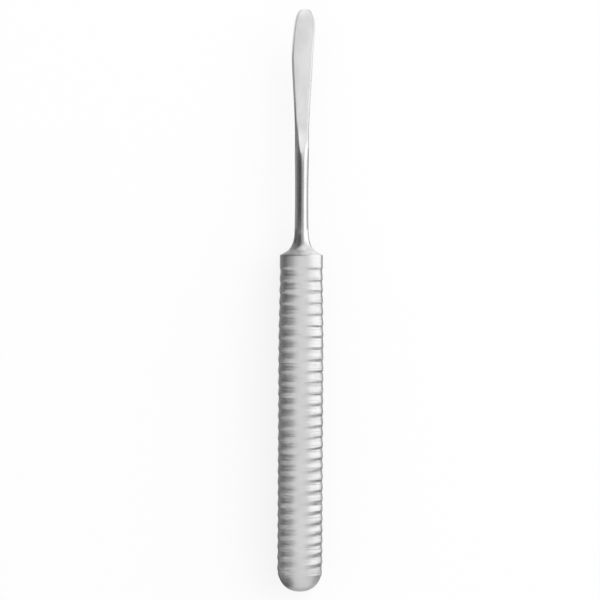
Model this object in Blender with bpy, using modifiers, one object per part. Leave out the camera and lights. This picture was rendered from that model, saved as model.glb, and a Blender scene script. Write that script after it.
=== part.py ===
"""Periosteal elevator: a surgical hand instrument, forged, turned and ground from one bar of stainless steel.

It lies on its round handle with the butt towards -Y and the blade towards +Y, and the ground inner face
of the curved blade looks up. The origin is on the surface it lies on, under the middle of its length.
A station is a distance from the butt end along the instrument. All lengths are in metres.
"""

import math

import bmesh
import bpy
from mathutils import Matrix

# Handle
HANDLE_RADIUS = 0.00684  # over the crests of the ribs
DOME_LENGTH = 0.0081  # over which the end is rounded
DOME_FULLNESS = 2.3  # exponent of its profile; 2 is an ellipse
BUTT_LENGTH = 0.0053  # smooth part of the dome
LAST_LAND = 0.0017  # level stretch between the last valley and the smooth part
RIB_COUNT = 28
RIB_PITCH = 0.003325  # on average
RIB_DRIFT = 0.0012  # how far the middle ribs lie towards the butt, so that the pitch closes up that way
RIB_DEPTH = 0.0002
RIB_FALL = 0.33  # share of the pitch that the flank facing the butt takes
RIB_SLANT = 0.155  # rise of the last rib across the handle, per unit of width; the first rib is square
TAPER_LENGTH = 0.0243  # stretch over which the grip narrows to the collar
COLLAR_RADIUS = 0.0065
COLLAR_LENGTH = 0.00373  # smooth band between the first crest and the shoulder
COLLAR_CHAMFER = 0.0001

# Neck and shank
NECK_LENGTH = 0.0069  # from the shank out to the shoulder
NECK_TURN = math.radians(75)  # how far the concave curve of the neck turns outwards
NECK_CONE = 0.001  # length of the cone that joins this curve to the shoulder
CONE_RADIUS = 0.0046  # at its narrow end
SHANK_LENGTH = 0.0217
SHANK_RADIUS = 0.002  # at its waist
SHANK_FLARE = 0.00013  # added at both ends of the shank

# Blade
BLADE_LENGTH = 0.0448
BLADE_WIDTH = 0.0065
BLADE_THICKNESS = 0.0033  # where the bend starts
BLADE_FLARE_START = 0.0065  # from the root of the blade to where it begins to widen
BLADE_FLARE_LENGTH = 0.029
FACE_HEIGHT = 0.00145  # ground face above the axis of the shank
RUN_OUT_LENGTH = 0.0108  # over which the ground face runs out on the round shank
RUN_OUT_SKEW = 1.0  # how far the run-out leans to the right, per unit of width
FACE_EDGE = 0.0007  # rounded edge on each side of the face
FLANK_SHARE = 0.3  # depth of the widest level below the face, as a share of the thickness
BEND_LENGTH = 0.0264  # from where the blade begins to curve up to the tip
TIP_RISE = 0.0053  # rise of the face over the bend
BEND_POWER = 2.04
TIP_ROUNDING = 0.009  # length of the rounded end, seen from above
TIP_SQUARENESS = 3.0  # exponent of the end's outline; 2 is an ellipse
TIP_OFFSET = 0.0008  # how far the end is ground towards +X
TIP_OFFSET_START = 0.015  # from the tip, where it begins
TIP_OFFSET_END = 0.002
TIP_THICKNESS = 0.0005  # before the end is sharpened
TIP_EDGE = 0.00015  # left by the sharpening
BEVEL_START = 0.87  # where the sharpened bevel starts, as a share of the way out to the outline
BEVEL_FADE = 0.4  # share of the rounded end that the bevel leaves alone

# Facets
SIDES = 24
EDGE_FACETS = 3  # round each edge of the ground face
BUTT_RINGS = 6
RISING_PARTS = (0.25, 0.75)  # places along a rib's longer flank that get a ring
NECK_RINGS = 7
SHANK_RINGS = 5
BLADE_RINGS = 22
TIP_RINGS = 8
SHARP_ANGLE = math.radians(38)
WELD_DISTANCE = 1e-6

# Stations
LAST_VALLEY = BUTT_LENGTH + LAST_LAND
LAST_CREST = LAST_VALLEY + RIB_FALL * RIB_PITCH
FIRST_CREST = LAST_CREST + (RIB_COUNT - 1) * RIB_PITCH
SHOULDER = FIRST_CREST + COLLAR_LENGTH
SHANK_START = SHOULDER + NECK_LENGTH
BLADE_ROOT = SHANK_START + SHANK_LENGTH
TIP = BLADE_ROOT + BLADE_LENGTH
BEND_START = TIP - BEND_LENGTH

AXIS_HEIGHT = HANDLE_RADIUS
FACET_REACH = 1 / math.cos(math.pi / SIDES)  # corners of the facets, whose middles lie on the round surface
FACE_CORNER = (2 * EDGE_FACETS - 1) * math.pi / SIDES  # turn from the side of the blade to its face


def ease(share):
    """0 to 1 with a level start and end."""
    share = min(max(share, 0.0), 1.0)
    return share * share * (3 - 2 * share)


def crest_radius(station):
    """Radius over the ribs: a dome at the butt, then full, then narrowing to the collar."""
    share = (station - (FIRST_CREST - TAPER_LENGTH)) / TAPER_LENGTH
    radius = HANDLE_RADIUS - (HANDLE_RADIUS - COLLAR_RADIUS) * ease(share)
    in_dome = max(1 - station / DOME_LENGTH, 0.0)
    return radius * (1 - in_dome**DOME_FULLNESS) ** (1 / DOME_FULLNESS)


def shank_radius(station):
    middle = SHANK_START + SHANK_LENGTH / 2
    return SHANK_RADIUS + SHANK_FLARE * ((station - middle) / (SHANK_LENGTH / 2)) ** 2


def shank_profile():
    """(radius, station) down the round shank, from the root of the blade to the neck."""
    stations = [BLADE_ROOT - SHANK_LENGTH * i / SHANK_RINGS for i in range(SHANK_RINGS)]
    return [(shank_radius(station), station) for station in stations]


def neck_profile():
    """Part of an ellipse that leaves the shank along it, then a low cone out to the shoulder."""
    inner = shank_radius(SHANK_START)
    spread = (CONE_RADIUS - inner) / (1 - math.cos(NECK_TURN))
    sweep = (NECK_LENGTH - NECK_CONE) / math.sin(NECK_TURN)
    turns = [NECK_TURN * i / NECK_RINGS for i in range(NECK_RINGS + 1)]
    curve = [
        (inner + spread * (1 - math.cos(turn)), SHANK_START - sweep * math.sin(turn))
        for turn in turns
    ]
    return curve + [(COLLAR_RADIUS - COLLAR_CHAMFER, SHOULDER)]


def crest_station(rib):
    """Where a rib has its crest. The ribs are counted from the collar."""
    share = rib / (RIB_COUNT - 1)
    return FIRST_CREST - rib * RIB_PITCH - RIB_DRIFT * 4 * share * (1 - share)


def rising_depth(part):
    """Depth below the crests, as a share of the full depth, part of the way up the longer flank."""
    return (1 + math.cos(math.pi * part)) / 2


def rib_profile():
    """Crests and valleys down the grip. The flank that faces the butt is the shorter one."""
    points = []
    for rib in range(RIB_COUNT):
        crest = crest_station(rib)
        valley = crest - RIB_FALL * RIB_PITCH
        steps = [(crest, 0), (valley, 1)]
        if rib < RIB_COUNT - 1:
            rise = valley - crest_station(rib + 1)
            steps += [(valley - rise * part, rising_depth(part)) for part in RISING_PARTS]
        points += [(crest_radius(station) - depth * RIB_DEPTH, station) for station, depth in steps]
    return points


def butt_profile():
    """The smooth end of the dome, down to the point on the axis."""
    widest = math.acos(1 - BUTT_LENGTH / DOME_LENGTH)
    stations = [DOME_LENGTH * (1 - math.cos(widest * i / BUTT_RINGS)) for i in range(BUTT_RINGS, 0, -1)]
    return [(crest_radius(station), station) for station in stations] + [(0.0, 0.0)]


def turned_profile():
    collar = [(COLLAR_RADIUS, SHOULDER - COLLAR_CHAMFER)]
    return shank_profile() + neck_profile() + collar + rib_profile() + butt_profile()


def turned_mesh():
    """The round parts, spun about the axis and laid along +Y, open where the blade starts."""
    profile = turned_profile()
    outline = bpy.data.meshes.new("turned_outline")
    points = [(radius * FACET_REACH, 0, station) for radius, station in profile]
    outline.from_pydata(points, [(i, i + 1) for i in range(len(points) - 1)], [])
    blank = bpy.data.objects.new("turned_blank", outline)
    bpy.context.scene.collection.objects.link(blank)
    turning = blank.modifiers.new("turning", "SCREW")
    turning.steps = SIDES
    turning.render_steps = SIDES
    turning.use_merge_vertices = True
    turning.merge_threshold = WELD_DISTANCE
    evaluated = blank.evaluated_get(bpy.context.evaluated_depsgraph_get())
    mesh = bpy.data.meshes.new_from_object(evaluated)
    bpy.data.objects.remove(blank)
    half_side = Matrix.Rotation(math.pi / SIDES, 4, "Z")
    mesh.transform(Matrix.Rotation(-math.pi / 2, 4, "X") @ half_side)
    return mesh


def slant_ribs(bm):
    """Leans the ribs, more and more towards the butt, and keeps them on the round of the handle."""
    for vert in [vert for vert in bm.verts if 0 < vert.co.y < FIRST_CREST]:
        station = vert.co.y
        share = (FIRST_CREST - station) / (FIRST_CREST - LAST_CREST)
        starting = ease((FIRST_CREST - station) / RIB_PITCH)
        ending = min(max((station - BUTT_LENGTH) / LAST_LAND, 0.0), 1.0)
        leaning = station + RIB_SLANT * share * starting * ending * vert.co.x
        narrowing = crest_radius(leaning) / crest_radius(station)
        vert.co = (vert.co.x * narrowing, leaning, vert.co.z * narrowing)


def end_share(station):
    """How far along the rounded end a station is: 0 where the rounding starts and 1 at the tip."""
    return min(max((station - TIP + TIP_ROUNDING) / TIP_ROUNDING, 0.0), 1.0)


def half_width(station):
    """Half the width of the blade, seen from above."""
    root = shank_radius(BLADE_ROOT)
    share = (station - BLADE_ROOT - BLADE_FLARE_START) / BLADE_FLARE_LENGTH
    width = root + (BLADE_WIDTH / 2 - root) * ease(share)
    return width * (1 - end_share(station) ** TIP_SQUARENESS) ** (1 / TIP_SQUARENESS)


def tip_offset(station):
    """How far the middle of the blade lies off the axis of the shank."""
    share = (station - TIP + TIP_OFFSET_START) / (TIP_OFFSET_START - TIP_OFFSET_END)
    return TIP_OFFSET * ease(share)


def bend_share(station):
    return max((station - BEND_START) / BEND_LENGTH, 0.0) ** BEND_POWER


def face_height(station):
    """Height of the ground face above the axis of the shank."""
    return FACE_HEIGHT + TIP_RISE * bend_share(station)


def thickness(station):
    """Thickness of the blade before its end is sharpened."""
    return BLADE_THICKNESS - (BLADE_THICKNESS - TIP_THICKNESS) * bend_share(station)


def bevel_depth(across, station):
    """How far the sharpened bevel round the end lies below the ground face."""
    along = end_share(station)
    out = (along**TIP_SQUARENESS + abs(across / (BLADE_WIDTH / 2)) ** TIP_SQUARENESS) ** (1 / TIP_SQUARENESS)
    share = min(max((out - BEVEL_START) / (1 - BEVEL_START), 0.0), 1.0)
    return (TIP_THICKNESS - TIP_EDGE) * share * ease((along - BEVEL_FADE) / (1 - BEVEL_FADE))


def round_point(turn, station):
    """A point of the round bar that the blade is ground from."""
    radius = shank_radius(BLADE_ROOT)
    return half_width(station) * FACET_REACH * math.cos(turn), radius * FACET_REACH * math.sin(turn)


def ground_point(turn, station):
    """A point of the finished blade: flat on top, with rounded edges and a round back."""
    wide = half_width(station)
    edge = min(FACE_EDGE, wide / 3)
    top = face_height(station)
    deep = thickness(station) - bevel_depth(wide, station)
    level = top - bevel_depth(wide, station) - FLANK_SHARE * deep
    across = math.cos(turn)
    up = math.sin(turn)
    if up <= 0:
        return wide * FACET_REACH * across, level + (1 - FLANK_SHARE) * deep * FACET_REACH * up
    if abs(across) <= math.cos(FACE_CORNER) + WELD_DISTANCE:
        side = (wide - edge) * across / math.cos(FACE_CORNER)
        return side, top - bevel_depth(side, station)
    round_in_corner = math.asin(up) / FACE_CORNER * math.pi / 2
    side = math.copysign(wide - edge + edge * math.cos(round_in_corner), across)
    rise = top - bevel_depth(wide - edge, station) - level
    return side, level + rise * math.sin(round_in_corner)


def blade_point(turn, station):
    """(x, height above the axis) on the blade, which changes from the round bar to the ground section."""
    bar = round_point(turn, station)
    blade = ground_point(turn, station)
    share = ease((station - BLADE_ROOT + RUN_OUT_SKEW * bar[0]) / RUN_OUT_LENGTH)
    return tuple(a + (b - a) * share for a, b in zip(bar, blade))


def blade_stations():
    """Even along the blade, then closing up over the rounded end."""
    straight = TIP - TIP_ROUNDING - BLADE_ROOT
    even = [BLADE_ROOT + straight * i / BLADE_RINGS for i in range(1, BLADE_RINGS + 1)]
    turns = [math.pi / 2 * i / (TIP_RINGS + 1) for i in range(1, TIP_RINGS + 1)]
    return even + [TIP - TIP_ROUNDING * (1 - math.sin(turn)) for turn in turns]


def extrude_blade(bm):
    """Draws the open end of the shank out, ring by ring, and closes it at the tip."""
    ring = {vert: math.atan2(vert.co.z, vert.co.x) for vert in bm.verts if vert.is_boundary}
    edges = [edge for edge in bm.edges if edge.is_boundary]
    for station in blade_stations() + [TIP]:
        made = bmesh.ops.extrude_edge_only(bm, edges=edges)["geom"]
        edges = [item for item in made if isinstance(item, bmesh.types.BMEdge) and item.is_boundary]
        fresh = {item for item in made if isinstance(item, bmesh.types.BMVert)}
        turns = {}
        for vert, turn in ring.items():
            drawn = next(e.other_vert(vert) for e in vert.link_edges if e.other_vert(vert) in fresh)
            turns[drawn] = turn
        for vert, turn in turns.items():
            across, up = blade_point(turn, station)
            vert.co = (across + tip_offset(station), station, up)
        ring = turns
    end = face_height(TIP) - TIP_THICKNESS + TIP_EDGE / 2
    bmesh.ops.pointmerge(bm, verts=list(ring), merge_co=(tip_offset(TIP), TIP, end))


def stainless_steel():
    material = bpy.data.materials.new("stainless_steel")
    material.use_nodes = True
    shader = material.node_tree.nodes["Principled BSDF"]
    shader.inputs["Base Color"].default_value = (0.62, 0.62, 0.63, 1)
    shader.inputs["Metallic"].default_value = 1
    shader.inputs["Roughness"].default_value = 0.28
    return material


def make_elevator(collection):
    mesh = turned_mesh()
    mesh.name = "elevator"
    bm = bmesh.new()
    bm.from_mesh(mesh)
    bmesh.ops.remove_doubles(bm, verts=bm.verts, dist=WELD_DISTANCE)
    slant_ribs(bm)
    extrude_blade(bm)
    bmesh.ops.recalc_face_normals(bm, faces=bm.faces)
    bmesh.ops.translate(bm, verts=bm.verts, vec=(0, -TIP / 2, AXIS_HEIGHT))
    bm.to_mesh(mesh)
    bm.free()
    mesh.shade_smooth()
    mesh.set_sharp_from_angle(angle=SHARP_ANGLE)
    mesh.materials.clear()
    mesh.materials.append(stainless_steel())
    elevator = bpy.data.objects.new("elevator", mesh)
    collection.objects.link(elevator)
    return elevator


def main():
    for item in list(bpy.data.objects):
        bpy.data.objects.remove(item)
    collection = bpy.data.collections.new("periosteal_elevator")
    bpy.context.scene.collection.children.link(collection)
    make_elevator(collection)


main()
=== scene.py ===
"""Looks of a periosteal elevator with a ribbed round handle, laid on a white floor and seen from above.

All lengths are in metres. A station is a distance from the butt end along the instrument, which lies
along +Y with the ground inner face of its blade up.
"""

import math

import bpy
import numpy as np
from mathutils import Matrix, Vector


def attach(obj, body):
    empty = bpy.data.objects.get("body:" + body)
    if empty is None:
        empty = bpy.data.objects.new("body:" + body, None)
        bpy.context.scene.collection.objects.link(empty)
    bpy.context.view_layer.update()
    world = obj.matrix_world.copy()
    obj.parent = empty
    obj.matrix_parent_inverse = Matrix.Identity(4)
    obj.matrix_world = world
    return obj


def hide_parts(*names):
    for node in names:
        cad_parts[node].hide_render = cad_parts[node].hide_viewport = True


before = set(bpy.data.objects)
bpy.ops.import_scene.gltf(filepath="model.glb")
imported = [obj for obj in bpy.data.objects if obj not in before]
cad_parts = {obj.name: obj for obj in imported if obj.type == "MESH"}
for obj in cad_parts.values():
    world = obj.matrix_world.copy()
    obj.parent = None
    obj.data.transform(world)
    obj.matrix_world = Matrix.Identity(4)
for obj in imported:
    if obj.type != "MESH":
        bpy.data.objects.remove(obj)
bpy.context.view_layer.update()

# Handle
HANDLE_RADIUS = 0.00684
DOME_LENGTH = 0.0081
DOME_FULLNESS = 2.3
BUTT_LENGTH = 0.0053
DOME_TOP = 0.0036
BUTT_EDGE = 0.0052
LAND_RISE = 0.00004
EDGE_ROUND = 0.00004
LAST_LAND = 0.0017
RIB_COUNT = 28
RIB_PITCH = 0.003325
RIB_DRIFT = 0.0012
RIB_DEPTH = 0.0002
RIB_FALL = 0.33
RIB_SLANT = 0.155
TAPER_LENGTH = 0.0243
COLLAR_RADIUS = 0.0065
COLLAR_LENGTH = 0.00373
SHOULDER_ROUND = 0.0001

# Neck and shank
NECK_LENGTH = 0.0069
NECK_TURN = math.radians(75)
NECK_CONE = 0.001
CONE_RADIUS = 0.0046
SHANK_LENGTH = 0.0217
SHANK_RADIUS = 0.002
SHANK_FLARE = 0.00013

# Blade
BLADE_LENGTH = 0.0448
BLADE_WIDTH = 0.0065
BLADE_THICKNESS = 0.0033
BLADE_FLARE_START = 0.0065
BLADE_FLARE_LENGTH = 0.029
FACE_HEIGHT = 0.00145
RUN_OUT_LENGTH = 0.0108
RUN_OUT_SKEW = 1.0
PLUNGE_START = 0.0018
PLUNGE_LENGTH = 0.0175
PLUNGE_POWER = 1.5
FACE_EDGE = 0.0007
FACE_CROWN = 0.00004
CUT_EDGE = 0.00003
FLANK_SHARE = 0.3
BEND_LENGTH = 0.0264
TIP_RISE = 0.0053
BEND_POWER = 2.04
TIP_ROUNDING = 0.009
TIP_SQUARENESS = 3.0
TIP_OFFSET = 0.0008
TIP_OFFSET_START = 0.015
TIP_OFFSET_END = 0.002
TIP_THICKNESS = 0.0005
TIP_EDGE = 0.00015
BEVEL_START = 0.87
BEVEL_FADE = 0.4

# Stations
LAST_VALLEY = BUTT_LENGTH + LAST_LAND
LAST_CREST = LAST_VALLEY + RIB_FALL * RIB_PITCH
FIRST_CREST = LAST_CREST + (RIB_COUNT - 1) * RIB_PITCH
SHOULDER = FIRST_CREST + COLLAR_LENGTH
SHANK_START = SHOULDER + NECK_LENGTH
BLADE_ROOT = SHANK_START + SHANK_LENGTH
TIP = BLADE_ROOT + BLADE_LENGTH
BEND_START = TIP - BEND_LENGTH
MIDDLE = TIP / 2

# Fine mesh
SIDES = 144
BUTT_RINGS = 20
FALL_RINGS = 6
RISE_RINGS = 9
COLLAR_RINGS = 6
NECK_RINGS = 24
SHANK_RINGS = 12
BLADE_RINGS = 96
TIP_RINGS = 24
FACE_CORNER = math.radians(37.5)
SHARP_ANGLE = math.radians(50)
AXIS_HEIGHT = HANDLE_RADIUS

# View, from the photograph
PIXELS = 600
PIXELS_A_METRE = 3311
CAMERA_DISTANCE = 0.68
CAMERA_CENTRE = (-0.00032, 0.00047)
CAMERA_ROLL = math.radians(0.27)
SENSOR = 36.0
CLIP_END = 20

# Steel. The satin ends in the neck. The run-out and the bevel at the end are ground smoother, and their
# brighter colour is a painted highlight.
SHANK_COLOUR = (0.68, 0.68, 0.685, 1)
HANDLE_COLOUR = (0.64, 0.64, 0.645, 1)
# The ground face's steel, painted lighter than the handle's: painted light.
FACE_COLOUR_WITH_PAINTED_LIGHT = (0.76, 0.76, 0.76, 1)
# Painted highlight: the brighter colour of the run-out and the bevel at the end.
PAINTED_HIGHLIGHT_COLOUR = (0.9, 0.9, 0.9, 1)
DULL_COLOUR = (0.55, 0.55, 0.55, 1)
SHANK_ROUGHNESS = 0.24
HANDLE_ROUGHNESS = 0.38
FACE_ROUGHNESS = 0.36
FRESH_ROUGHNESS = 0.24
DULL_SHARE = 0.35
CLOUD_WAVES = (240, 90, 240)
TURNED_WAVES = (50, 1300, 50)
DRAWN_WAVES = (2600, 45, 2600)
TURNED_MARKS = 0.0002
DRAWN_MARKS = 0.000004
GRIP_END = (-0.0008, 0.0002)
COLLAR_SHARE = 0.15
SATIN_END = (-0.001, 0.0065)
# Where the run-out's smoother finish and painted highlight fade out, measured from the blade's root.
RUN_OUT_MASK_END = (0.0063, 0.0103)
SHARPENED_START = (-0.0035, -0.001)
SHARPENED_SHARE = 0.6

# Light
LAMP_DISTANCE = 1.6
CARD_DISTANCE = 1.3
CARD_CELL = 5
ROOM_LIGHT = 0.8
FLOOR_GLOW = 0.78
FLOOR_COLOUR = (0.93, 0.93, 0.93, 1)
FLOOR_SIZE = (8, 8)
WHITE = (1, 1, 1, 1)


def ease(share):
    """0 to 1 with a level start and end."""
    share = np.clip(share, 0.0, 1.0)
    return share * share * (3 - 2 * share)


def crest_radius(station):
    share = (station - (FIRST_CREST - TAPER_LENGTH)) / TAPER_LENGTH
    radius = HANDLE_RADIUS - (HANDLE_RADIUS - COLLAR_RADIUS) * ease(share)
    in_dome = np.clip(1 - station / DOME_LENGTH, 0, 1)
    return radius * (1 - in_dome**DOME_FULLNESS) ** (1 / DOME_FULLNESS)


def shank_radius(station):
    middle = SHANK_START + SHANK_LENGTH / 2
    return SHANK_RADIUS + SHANK_FLARE * ((station - middle) / (SHANK_LENGTH / 2)) ** 2


def crest_station(rib):
    share = rib / (RIB_COUNT - 1)
    return FIRST_CREST - rib * RIB_PITCH - RIB_DRIFT * 4 * share * (1 - share)


def rib_profile():
    """(station, radius) from the edge of the butt to the first crest, with the ribs' flanks eased."""
    valley = crest_radius(LAST_VALLEY) - RIB_DEPTH
    butt = valley + LAND_RISE
    rising = np.linspace(0, 1, RISE_RINGS + 1)[:-1]
    falling = np.linspace(0, 1, FALL_RINGS + 1)[:-1]
    length = LAST_VALLEY - BUTT_EDGE
    points = [(BUTT_EDGE + length * part, butt + (valley - butt) * part) for part in rising]
    for rib in reversed(range(RIB_COUNT)):
        crest = crest_station(rib)
        valley = crest - RIB_FALL * RIB_PITCH
        steps = [(valley + (crest - valley) * part, 1 - ease(part)) for part in falling]
        if rib < RIB_COUNT - 1:
            lower = crest_station(rib + 1)
            steps = [(lower + (valley - lower) * part, ease(part)) for part in rising] + steps
        points += [(station, crest_radius(station) - RIB_DEPTH * depth) for station, depth in steps]
    return points + [(FIRST_CREST, COLLAR_RADIUS)]


def turned_profile():
    """(station, radius) from the butt to the root of the blade."""
    widest = math.acos(1 - DOME_TOP / DOME_LENGTH)
    dome = [DOME_LENGTH * (1 - math.cos(turn)) for turn in np.linspace(0, widest, BUTT_RINGS + 1)[1:]]
    points = [(station, crest_radius(station)) for station in dome]
    ribs = rib_profile()
    butt = ribs[0][1]
    cone = (butt - points[-1][1]) / (BUTT_EDGE - DOME_TOP)
    points.append((BUTT_EDGE - EDGE_ROUND, butt - EDGE_ROUND * cone))
    points.append((BUTT_EDGE + EDGE_ROUND, butt))
    points += ribs[1:]
    collar_end = SHOULDER - SHOULDER_ROUND
    collar = np.linspace(FIRST_CREST, collar_end, COLLAR_RINGS + 1)[1:]
    points += [(station, COLLAR_RADIUS) for station in collar]
    points.append((SHOULDER, COLLAR_RADIUS - SHOULDER_ROUND))
    inner = shank_radius(SHANK_START)
    spread = (CONE_RADIUS - inner) / (1 - math.cos(NECK_TURN))
    sweep = (NECK_LENGTH - NECK_CONE) / math.sin(NECK_TURN)
    for turn in np.linspace(NECK_TURN, 0, NECK_RINGS + 1):
        radius = inner + spread * (1 - math.cos(turn))
        points.append((SHANK_START - sweep * math.sin(turn), radius))
    for station in np.linspace(SHANK_START, BLADE_ROOT, SHANK_RINGS + 1)[1:]:
        points.append((station, float(shank_radius(station))))
    return points


def turned_ring(station, radius, turns):
    """One ring of the round parts, with the slant of the ribs: rows of x, y, z and ground share."""
    across, up = radius * np.cos(turns), radius * np.sin(turns)
    leaning = np.full(len(turns), station)
    if station < FIRST_CREST:
        share = (FIRST_CREST - station) / (FIRST_CREST - LAST_CREST)
        starting = ease((FIRST_CREST - station) / RIB_PITCH)
        ending = np.clip((station - BUTT_EDGE) / (LAST_VALLEY - BUTT_EDGE), 0, 1)
        leaning = station + RIB_SLANT * share * starting * ending * across
        on_grip = crest_radius(np.maximum(leaning, DOME_LENGTH))
        narrowing = on_grip / crest_radius(max(station, DOME_LENGTH))
        across, up = across * narrowing, up * narrowing
    return np.stack([across, leaning, up, np.zeros(len(turns))], axis=1)


def end_share(station):
    return min(max((station - TIP + TIP_ROUNDING) / TIP_ROUNDING, 0.0), 1.0)


def half_width(station):
    root = shank_radius(BLADE_ROOT)
    share = (station - BLADE_ROOT - BLADE_FLARE_START) / BLADE_FLARE_LENGTH
    width = root + (BLADE_WIDTH / 2 - root) * ease(share)
    return float(width * (1 - end_share(station) ** TIP_SQUARENESS) ** (1 / TIP_SQUARENESS))


def bevel_depth(across, station):
    """How far the sharpened bevel round the end lies below the ground face."""
    along = end_share(station)
    aside = np.abs(across / (BLADE_WIDTH / 2))
    out = (along**TIP_SQUARENESS + aside**TIP_SQUARENESS) ** (1 / TIP_SQUARENESS)
    share = np.clip((out - BEVEL_START) / (1 - BEVEL_START), 0.0, 1.0)
    return (TIP_THICKNESS - TIP_EDGE) * share * ease((along - BEVEL_FADE) / (1 - BEVEL_FADE))


def tip_offset(station):
    share = (station - TIP + TIP_OFFSET_START) / (TIP_OFFSET_START - TIP_OFFSET_END)
    return float(TIP_OFFSET * ease(share))


def bend_share(station):
    return max((station - BEND_START) / BEND_LENGTH, 0.0) ** BEND_POWER


def face_height(station):
    """Height of the ground face above the axis: it sinks into the round shank, then bends up."""
    left = np.clip(1 - (station - BLADE_ROOT - PLUNGE_START) / PLUNGE_LENGTH, 0, None)
    sunk = (shank_radius(BLADE_ROOT) - FACE_HEIGHT) * left**PLUNGE_POWER
    return FACE_HEIGHT + sunk + TIP_RISE * bend_share(station)


def blade_ring(station, turns):
    """One ring of the blade, from the round bar at its root to the ground section, in the same rows."""
    wide = half_width(station)
    across, up = np.cos(turns), np.sin(turns)
    top = face_height(station)
    round_height = shank_radius(BLADE_ROOT) * up
    cut = np.clip((round_height - top) / CUT_EDGE, 0, 1)
    bar = np.stack([wide * across, np.minimum(round_height, top)], axis=1)
    edge = min(FACE_EDGE, wide / 3)
    thick = BLADE_THICKNESS - (BLADE_THICKNESS - TIP_THICKNESS) * bend_share(station)
    deep = thick - bevel_depth(wide, station)
    bent = FACE_HEIGHT + TIP_RISE * bend_share(station)
    level = bent - bevel_depth(wide, station) - FLANK_SHARE * deep
    in_corner = np.arcsin(np.clip(up, -1, 1)) / FACE_CORNER * math.pi / 2
    on_face = (up > 0) & (np.abs(across) <= math.cos(FACE_CORNER))
    rounded = (up > 0) & ~on_face
    side = np.where(on_face, (wide - edge) * across / math.cos(FACE_CORNER), wide * across)
    side = np.where(rounded, np.sign(across) * (wide - edge + edge * np.cos(in_corner)), side)
    crowned = top - bevel_depth(side, station) - FACE_CROWN * (side / (wide - edge)) ** 4
    height = np.where(on_face, crowned, level + (1 - FLANK_SHARE) * deep * up)
    rise = top - bevel_depth(wide - edge, station) - FACE_CROWN - level
    height = np.where(rounded, level + rise * np.sin(in_corner), height)
    share = ease((station - BLADE_ROOT + RUN_OUT_SKEW * bar[:, 0]) / RUN_OUT_LENGTH)
    section = bar + (np.stack([side, height], axis=1) - bar) * share[:, None]
    along = np.full(len(turns), station)
    ground = np.maximum(cut, on_face * share)
    return np.stack([section[:, 0] + tip_offset(station), along, section[:, 1], ground], axis=1)


def blade_stations():
    straight = np.linspace(BLADE_ROOT, TIP - TIP_ROUNDING, BLADE_RINGS + 1)[1:]
    turns = np.linspace(0, np.pi / 2, TIP_RINGS + 2)[1:-1]
    return list(straight) + [TIP - TIP_ROUNDING * (1 - math.sin(turn)) for turn in turns]


def elevator_mesh():
    """The whole instrument as one closed surface of rings from the butt to the tip."""
    turns = (np.arange(SIDES) + 0.5) * 2 * np.pi / SIDES
    rings = [turned_ring(station, radius, turns) for station, radius in turned_profile()]
    rings += [blade_ring(station, turns) for station in blade_stations()]
    tip_height = FACE_HEIGHT + TIP_RISE - TIP_THICKNESS + TIP_EDGE / 2
    rows = np.concatenate([np.zeros((1, 4)), *rings, [[tip_offset(TIP), TIP, tip_height, 1]]])
    points = rows[:, :3] + (0, -MIDDLE, AXIS_HEIGHT)
    last = len(points) - 1
    faces = [(0, 1 + i, 1 + (i + 1) % SIDES) for i in range(SIDES)]
    for ring in range(len(rings) - 1):
        start = 1 + ring * SIDES
        for i in range(SIDES):
            after = (i + 1) % SIDES
            faces.append((start + i, start + SIDES + i, start + SIDES + after, start + after))
    start = 1 + (len(rings) - 1) * SIDES
    faces += [(start + i, last, start + (i + 1) % SIDES) for i in range(SIDES)]
    mesh = bpy.data.meshes.new("elevator_body")
    mesh.from_pydata(points.tolist(), [], faces)
    mesh.attributes.new("ground", "FLOAT", "POINT").data.foreach_set("value", rows[:, 3].copy())
    mesh.shade_smooth()
    mesh.set_sharp_from_angle(angle=SHARP_ANGLE)
    return mesh


def math_node(tree, operation, first, second):
    """A Math node on two sockets or numbers. Gives its result."""
    node = tree.nodes.new("ShaderNodeMath")
    node.operation = operation
    for socket, value in zip(node.inputs, (first, second)):
        if isinstance(value, bpy.types.NodeSocket):
            tree.links.new(value, socket)
        else:
            socket.default_value = value
    return node.outputs[0]


def range_node(tree, value, start, end, low_value, high_value):
    """An eased change from one value to another."""
    node = tree.nodes.new("ShaderNodeMapRange")
    node.interpolation_type = "SMOOTHSTEP"
    node.inputs["From Min"].default_value = start
    node.inputs["From Max"].default_value = end
    node.inputs["To Min"].default_value = low_value
    node.inputs["To Max"].default_value = high_value
    tree.links.new(value, node.inputs["Value"])
    return node.outputs[0]


def change_along(tree, along, station, span, low_value, high_value):
    """An eased change along the instrument, over a span that is measured from a station."""
    start, end = (station - MIDDLE + part for part in span)
    return range_node(tree, along, start, end, low_value, high_value)


def noise_node(tree, place, waves, detail):
    """Noise with so many waves a metre along each axis."""
    mapping = tree.nodes.new("ShaderNodeMapping")
    mapping.inputs["Scale"].default_value = waves
    tree.links.new(place, mapping.inputs["Vector"])
    node = tree.nodes.new("ShaderNodeTexNoise")
    node.inputs["Scale"].default_value = 1
    node.inputs["Detail"].default_value = detail
    node.inputs["Roughness"].default_value = 0.6
    tree.links.new(mapping.outputs[0], node.inputs["Vector"])
    return node.outputs["Fac"]


def mix_node(tree, share, first, second):
    """A mix of two colours."""
    node = tree.nodes.new("ShaderNodeMix")
    node.data_type = "RGBA"
    tree.links.new(share, node.inputs["Factor"])
    for socket, value in zip((node.inputs["A"], node.inputs["B"]), (first, second)):
        if isinstance(value, bpy.types.NodeSocket):
            tree.links.new(value, socket)
        else:
            socket.default_value = value
    return node.outputs["Result"]


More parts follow.
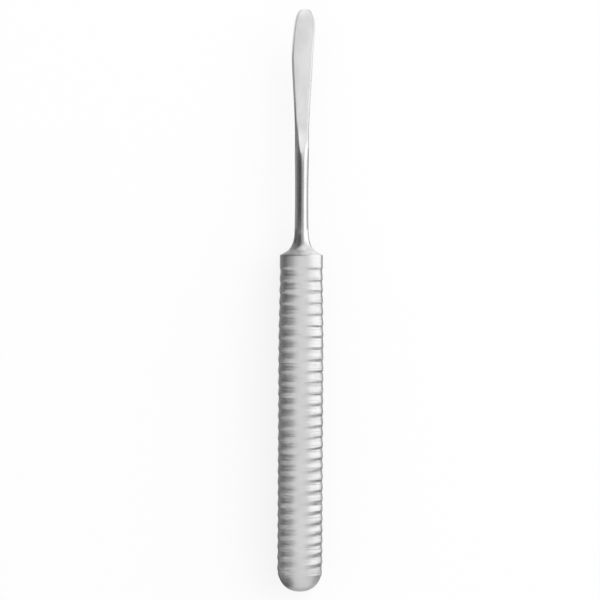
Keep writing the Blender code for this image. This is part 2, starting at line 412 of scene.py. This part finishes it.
def steel():
    """Stainless steel: a satin turned handle, a polished neck, shank and back, and a ground face. The face
    is painted lighter as painted light, and the run-out and the bevel carry a painted highlight.
    """
    material = bpy.data.materials.new("stainless_steel")
    material.use_nodes = True
    tree = material.node_tree
    shader = tree.nodes["Principled BSDF"]
    shader.inputs["Metallic"].default_value = 1
    place = tree.nodes.new("ShaderNodeTexCoord").outputs["Object"]
    split = tree.nodes.new("ShaderNodeSeparateXYZ")
    tree.links.new(place, split.inputs[0])
    satin = change_along(tree, split.outputs["Y"], SHOULDER, SATIN_END, 1, 0)
    run_out = change_along(tree, split.outputs["Y"], BLADE_ROOT, RUN_OUT_MASK_END, 1, 0)
    sharpened = change_along(tree, split.outputs["Y"], TIP, SHARPENED_START, 0, SHARPENED_SHARE)
    marked = tree.nodes.new("ShaderNodeAttribute")
    marked.attribute_name = "ground"
    ground = marked.outputs["Fac"]
    # The run-out and the bevel: a smoother finish, and a painted highlight in their colour.
    fresh_and_highlight = math_node(tree, "MULTIPLY", ground, math_node(tree, "ADD", run_out, sharpened))

    cloud = noise_node(tree, place, CLOUD_WAVES, 3)
    turned = noise_node(tree, place, TURNED_WAVES, 3)
    drawn = noise_node(tree, place, DRAWN_WAVES, 3)

    colour = mix_node(tree, satin, SHANK_COLOUR, HANDLE_COLOUR)
    # Painted light: the ground face painted lighter.
    colour = mix_node(tree, ground, colour, FACE_COLOUR_WITH_PAINTED_LIGHT)
    # Painted highlight on the run-out and the bevel.
    colour = mix_node(tree, fresh_and_highlight, colour, PAINTED_HIGHLIGHT_COLOUR)
    dull = math_node(tree, "MULTIPLY", range_node(tree, cloud, 0.35, 0.7, 0, 1), DULL_SHARE)
    colour = mix_node(tree, dull, colour, DULL_COLOUR)
    tree.links.new(colour, shader.inputs["Base Color"])

    rough = math_node(tree, "MULTIPLY_ADD", satin, HANDLE_ROUGHNESS - SHANK_ROUGHNESS)
    rough.node.inputs[2].default_value = SHANK_ROUGHNESS
    face_rough = math_node(tree, "MULTIPLY", ground, FACE_ROUGHNESS - SHANK_ROUGHNESS)
    rough = math_node(tree, "ADD", rough, face_rough)
    fresh_rough = math_node(tree, "MULTIPLY", fresh_and_highlight, FRESH_ROUGHNESS - FACE_ROUGHNESS)
    rough = math_node(tree, "ADD", rough, fresh_rough)
    rough = math_node(tree, "ADD", rough, range_node(tree, cloud, 0.3, 0.7, -0.03, 0.04))
    tree.links.new(rough, shader.inputs["Roughness"])

    grip = change_along(tree, split.outputs["Y"], FIRST_CREST, GRIP_END, 1, COLLAR_SHARE)
    height = math_node(tree, "SUBTRACT", turned, 0.5)
    height = math_node(tree, "MULTIPLY", height, satin)
    height = math_node(tree, "MULTIPLY", height, grip)
    height = math_node(tree, "MULTIPLY", height, TURNED_MARKS)
    lines = math_node(tree, "SUBTRACT", 1, satin)
    lines = math_node(tree, "MULTIPLY", lines, drawn)
    lines = math_node(tree, "MULTIPLY", lines, DRAWN_MARKS)
    bump = tree.nodes.new("ShaderNodeBump")
    bump.inputs["Distance"].default_value = 1
    tree.links.new(math_node(tree, "ADD", height, lines), bump.inputs["Height"])
    tree.links.new(bump.outputs[0], shader.inputs["Normal"])
    return material


def make_elevator():
    body = bpy.data.objects.new("elevator_body", elevator_mesh())
    bpy.context.scene.collection.objects.link(body)
    body.data.materials.append(steel())
    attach(body, "root")
    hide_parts("elevator")
    return body


def toward(azimuth, elevation):
    """Unit vector. Azimuth 0 is +X and 90 is +Y, the tip's end; elevation is above the floor."""
    azimuth, elevation = math.radians(azimuth), math.radians(elevation)
    level = math.cos(elevation)
    return Vector((level * math.cos(azimuth), level * math.sin(azimuth), math.sin(elevation)))


def aimed(item, direction, distance):
    """Places a lamp or a card far off in a direction, level, with its own -Z towards the instrument."""
    item.location = direction * distance
    back = -direction
    side = Vector((0, 0, 1)).cross(-back)
    side.normalize()
    up = (-back).cross(side)
    item.rotation_euler = Matrix((side, up, -back)).transposed().to_euler()


def spread(degrees, distance):
    return 2 * distance * math.tan(math.radians(degrees) / 2)


def softbox(name, azimuth, elevation, wide, tall, radiance):
    """A rectangular lamp, as wide and as tall as so many degrees seen from the instrument."""
    lamp = bpy.data.lights.new(name, "AREA")
    lamp.shape = "RECTANGLE"
    lamp.size = spread(wide, LAMP_DISTANCE)
    lamp.size_y = spread(tall, LAMP_DISTANCE)
    lamp.energy = radiance * math.pi * lamp.size * lamp.size_y
    item = bpy.data.objects.new(name, lamp)
    aimed(item, toward(azimuth, elevation), LAMP_DISTANCE)
    item.visible_camera = False
    bpy.context.scene.collection.objects.link(item)
    return item


def plane(name, size, material):
    """A flat rectangle of the given size and material, such as the floor, linked into the scene."""
    half_x, half_y = size[0] / 2, size[1] / 2
    mesh = bpy.data.meshes.new(name)
    corners = [(-half_x, -half_y, 0), (half_x, -half_y, 0), (half_x, half_y, 0), (-half_x, half_y, 0)]
    mesh.from_pydata(corners, [], [(0, 1, 2, 3)])
    mesh.materials.append(material)
    item = bpy.data.objects.new(name, mesh)
    bpy.context.scene.collection.objects.link(item)
    return item


def card_material(name, radiance):
    """A card that glows evenly, so that its grey doesn't depend on the lamps."""
    material = bpy.data.materials.new(name)
    material.cycles.emission_sampling = "NONE"
    material.use_nodes = True
    nodes, links = material.node_tree.nodes, material.node_tree.links
    nodes.clear()
    glow = nodes.new("ShaderNodeEmission")
    glow.inputs["Color"].default_value = WHITE
    glow.inputs["Strength"].default_value = radiance
    output = nodes.new("ShaderNodeOutputMaterial")
    links.new(glow.outputs[0], output.inputs["Surface"])
    return material


def only_reflected(card):
    card.visible_camera = False
    card.visible_diffuse = False
    card.visible_shadow = False
    card.visible_transmission = False
    return card


def curved_card(name, azimuths, elevations, radiance):
    """A far card that fills a range of azimuths and of elevations, in degrees."""
    across = np.linspace(*azimuths, round((azimuths[1] - azimuths[0]) / CARD_CELL) + 1)
    up = np.linspace(*elevations, round((elevations[1] - elevations[0]) / CARD_CELL) + 1)
    points = [toward(azimuth, elevation) * CARD_DISTANCE for elevation in up for azimuth in across]
    row = len(across)
    faces = []
    for start in range(0, (len(up) - 1) * row, row):
        faces += [(start + i, start + i + 1, start + row + i + 1, start + row + i) for i in range(row - 1)]
    mesh = bpy.data.meshes.new(name)
    mesh.from_pydata(points, [], faces)
    mesh.materials.append(card_material(name, radiance))
    card = bpy.data.objects.new(name, mesh)
    bpy.context.scene.collection.objects.link(card)
    return only_reflected(card)


def near_card(name, left, right, start, end, radiance):
    """A card beside the instrument, from one (x, z) line to another, between two places along Y."""
    material = card_material(name, radiance)
    mesh = bpy.data.meshes.new(name)
    corners = [(left[0], start, left[1]), (right[0], start, right[1])]
    corners += [(right[0], end, right[1]), (left[0], end, left[1])]
    mesh.from_pydata(corners, [], [(0, 1, 2, 3)])
    mesh.materials.append(material)
    card = bpy.data.objects.new(name, mesh)
    bpy.context.scene.collection.objects.link(card)
    return only_reflected(card)


def seen_directly(nodes, links):
    """1 for rays from the camera, and for those that a shiny or clear surface sends on."""
    path = nodes.new("ShaderNodeLightPath")
    total = path.outputs["Is Camera Ray"]
    for name in ("Is Glossy Ray", "Is Transmission Ray"):
        add = nodes.new("ShaderNodeMath")
        add.operation = "ADD"
        add.use_clamp = True
        links.new(total, add.inputs[0])
        links.new(path.outputs[name], add.inputs[1])
        total = add.outputs[0]
    return total


def floor_material():
    material = bpy.data.materials.new("white_floor")
    material.use_nodes = True
    nodes, links = material.node_tree.nodes, material.node_tree.links
    nodes.clear()
    diffuse = nodes.new("ShaderNodeBsdfDiffuse")
    diffuse.inputs["Color"].default_value = FLOOR_COLOUR
    white = nodes.new("ShaderNodeEmission")
    white.inputs["Color"].default_value = WHITE
    share = nodes.new("ShaderNodeMath")
    share.operation = "MULTIPLY"
    share.inputs[1].default_value = FLOOR_GLOW
    links.new(seen_directly(nodes, links), share.inputs[0])
    mix = nodes.new("ShaderNodeMixShader")
    links.new(share.outputs[0], mix.inputs[0])
    links.new(diffuse.outputs[0], mix.inputs[1])
    links.new(white.outputs[0], mix.inputs[2])
    output = nodes.new("ShaderNodeOutputMaterial")
    links.new(mix.outputs[0], output.inputs["Surface"])
    return material


def make_world():
    world = bpy.data.worlds.new("white_room")
    bpy.context.scene.world = world
    world.use_nodes = True
    nodes, links = world.node_tree.nodes, world.node_tree.links
    world.cycles.sampling_method = "NONE"
    background = nodes["Background"]
    background.inputs["Color"].default_value = WHITE
    strength = nodes.new("ShaderNodeMapRange")
    strength.inputs["To Min"].default_value = ROOM_LIGHT
    strength.inputs["To Max"].default_value = 1.0
    links.new(seen_directly(nodes, links), strength.inputs["Value"])
    links.new(strength.outputs[0], background.inputs["Strength"])


def make_camera():
    data = bpy.data.cameras.new("camera")
    data.sensor_width = SENSOR
    data.lens = SENSOR * CAMERA_DISTANCE / (PIXELS / PIXELS_A_METRE)
    data.clip_end = CLIP_END
    camera = bpy.data.objects.new("camera", data)
    camera.location = (*CAMERA_CENTRE, AXIS_HEIGHT + CAMERA_DISTANCE)
    camera.rotation_euler = (0, 0, CAMERA_ROLL)
    bpy.context.scene.collection.objects.link(camera)
    bpy.context.scene.camera = camera


def make_stage():
    """The floor, the room and one lamp, and grey cards that only the reflections in the steel show."""
    floor = plane("floor", FLOOR_SIZE, floor_material())
    floor.visible_glossy = False
    make_world()
    softbox("key", 36, 30, 80, 50, 1.6).visible_glossy = False
    curved_card("key_front", (-12, 34), (-42, 46), 1.6)
    curved_card("key_tip_side", (34, 62), (-42, 46), 1.15)
    curved_card("key_side", (62, 84), (-60, 40), 1.4)
    curved_card("high_back", (30, 150), (66, 84), 1.15)
    curved_card("right_flag", (-34, -12), (-60, 12), 0.1)
    curved_card("right_high_flag", (-40, -12), (12, 48), 0.4)
    curved_card("right_low_flag", (-12, 32), (-80, -42), 0.15)
    curved_card("left_flag", (148, 188), (-20, 15), 0.1)
    curved_card("left_low_front_flag", (148, 188), (-60, -20), 0.28)
    curved_card("neck_flag", (100, 148), (-20, 15), 0.24)
    curved_card("neck_low_flag", (100, 148), (-60, -20), 0.42)
    curved_card("left_high_flag", (100, 188), (15, 52), 0.3)
    curved_card("left_low_flag", (188, 200), (-38, 0), 0.28)
    curved_card("left_rim_flag", (188, 207), (-70, -38), 0.2)
    curved_card("left_back_low_flag", (207, 248), (-70, 0), 0.12)
    curved_card("left_back_flag", (211, 248), (0, 25), 0.12)
    curved_card("butt_low_flag", (248, 326), (-85, -10), 0.62)
    near_card("shank_flag", (-0.02, 0.018), (0.0005, 0.03), 0.021, 0.0465, 0.1)
    near_card("shank_half_flag", (0.0005, 0.03), (0.0135, 0.0245), 0.021, 0.044, 0.5)
    near_card("shank_low_flag", (-0.006, 0.0083), (-0.006, 0.0017), 0.022, 0.0465, 0.4)
    near_card("shank_right_flag", (0.006, 0.008), (0.006, 0.003), 0.022, 0.0465, 0.75)
    near_card("blade_root_flag", (-0.02, -0.01), (-0.012, 0.05), 0.0465, 0.06, 0.26)
    near_card("blade_left_flag", (-0.02, -0.01), (-0.012, 0.05), 0.06, 0.074, 0.45)
    near_card("tip_left_flag", (-0.02, -0.01), (-0.012, 0.05), 0.074, 0.115, 0.95)
    near_card("blade_right_glow", (0.02, -0.01), (0.02, 0.035), 0.05, 0.086, 1.3)


make_elevator()
make_camera()
make_stage()
bpy.context.scene.view_settings.view_transform = "Standard"
